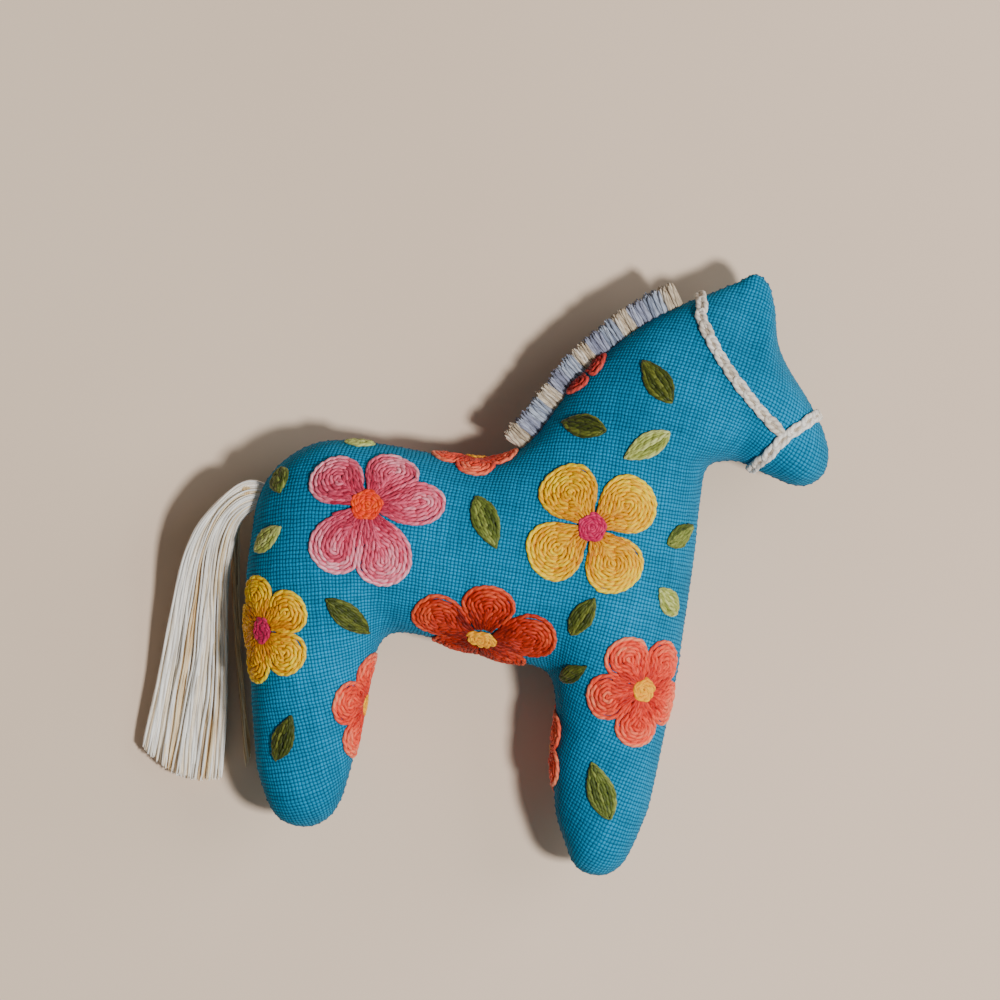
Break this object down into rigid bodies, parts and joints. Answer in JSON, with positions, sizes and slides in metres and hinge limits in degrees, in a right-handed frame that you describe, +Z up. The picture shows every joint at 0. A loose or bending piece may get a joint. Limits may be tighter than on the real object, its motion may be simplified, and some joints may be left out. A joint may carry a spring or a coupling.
{
  "type": "stuffed cloth dala horse",
  "caption": "Stuffed, embroidered cloth dala horse lying on its side, with flowers and leaves, a cut yarn mane, a stitched bridle and a yarn tassel tail that swings and lifts.",
  "frame": {"origin": "middle of the whole part's box in X and Y, at the plane it lies on in Z", "axes": "+Z up out of the horse's right side, +X the way the horse faces, +Y from its feet to its ear; it lies on its left side"},
  "size_m": [0.1716, 0.169, 0.0418],
  "materials": {
    "canvas": "evenweave cotton canvas, matt",
    "stuffing": "loose fibre fill",
    "seam_thread": "sewing cotton",
    "pink_thread": "stranded embroidery cotton in rows",
    "orange_thread": "stranded embroidery cotton in rows",
    "yellow_thread": "stranded embroidery cotton in rows",
    "magenta_thread": "stranded embroidery cotton in rows",
    "rust_thread": "stranded embroidery cotton in rows",
    "gold_thread": "stranded embroidery cotton in rows",
    "coral_thread": "stranded embroidery cotton in rows",
    "red_thread": "stranded embroidery cotton in rows",
    "light_green_thread": "stranded embroidery cotton in rows",
    "middle_green_thread": "stranded embroidery cotton in rows",
    "dark_green_thread": "stranded embroidery cotton in rows",
    "bridle_wool": "soft wool or cotton yarn",
    "beige_wool": "soft wool or cotton yarn",
    "lilac_grey_wool": "soft wool or cotton yarn",
    "grey_blue_wool": "soft wool or cotton yarn",
    "tail_binding": "soft wool or cotton yarn",
    "cream_yarn": "soft wool or cotton yarn",
    "tan_yarn": "soft wool or cotton yarn"
  },
  "bodies": {
    "horse": {"right_panel": "canvas", "left_panel": "canvas", "stuffing": "stuffing", "seam_thread": "seam_thread", "pink_flower_petals": "pink_thread", "pink_flower_centre": "orange_thread", "left_pink_flower_petals": "pink_thread", "left_pink_flower_centre": "orange_thread", "yellow_flower_petals": "yellow_thread", "yellow_flower_centre": "magenta_thread", "left_yellow_flower_petals": "yellow_thread", "left_yellow_flower_centre": "magenta_thread", "haunch_flower_petals": "yellow_thread", "haunch_flower_centre": "magenta_thread", "belly_flower_petals": "rust_thread", "belly_flower_centre": "gold_thread", "knee_flower_petals": "coral_thread", "knee_flower_centre": "gold_thread", "left_knee_flower_petals": "coral_thread", "left_knee_flower_centre": "gold_thread", "hock_flower_petals": "coral_thread", "hock_flower_centre": "gold_thread", "back_flower_petals": "coral_thread", "back_flower_centre": "gold_thread", "shin_flower_petals": "coral_thread", "shin_flower_centre": "gold_thread", "crest_flower_petals": "red_thread", "light_leaves": "light_green_thread", "middle_leaves": "middle_green_thread", "dark_leaves": "dark_green_thread", "left_light_leaves": "light_green_thread", "left_middle_leaves": "middle_green_thread", "left_dark_leaves": "dark_green_thread", "back_leaf": "light_green_thread", "cheek_strap": "bridle_wool", "noseband": "bridle_wool", "mane_tuft_1": "beige_wool", "mane_tuft_2": "lilac_grey_wool", "mane_tuft_3": "grey_blue_wool", "mane_tuft_4": "beige_wool", "mane_tuft_5": "lilac_grey_wool", "mane_tuft_6": "grey_blue_wool", "mane_tuft_7": "beige_wool", "mane_tuft_8": "lilac_grey_wool", "mane_tuft_9": "grey_blue_wool", "mane_tuft_10": "beige_wool", "mane_tuft_11": "lilac_grey_wool", "mane_tuft_12": "grey_blue_wool", "mane_tuft_13": "beige_wool"},
    "tail_root": {"tail_knot": "tail_binding"},
    "tail": {"tail_cream_locks": "cream_yarn", "tail_tan_locks": "tan_yarn", "tail_wisps": "tan_yarn"}
  },
  "joints": [
    {"name": "tail_swing", "type": "hinge", "parent": "horse", "child": "tail_root", "pos_m": [-0.0676, 0.0027, 0.0201], "axis": [0, 0, 1], "range_deg": [-60, 3]},
    {"name": "tail_lift", "type": "hinge", "parent": "tail_root", "child": "tail", "pos_m": [-0.0676, 0.0027, 0.0201], "axis": [-1, 0, 0], "range_deg": [0, 50]}
  ]
}
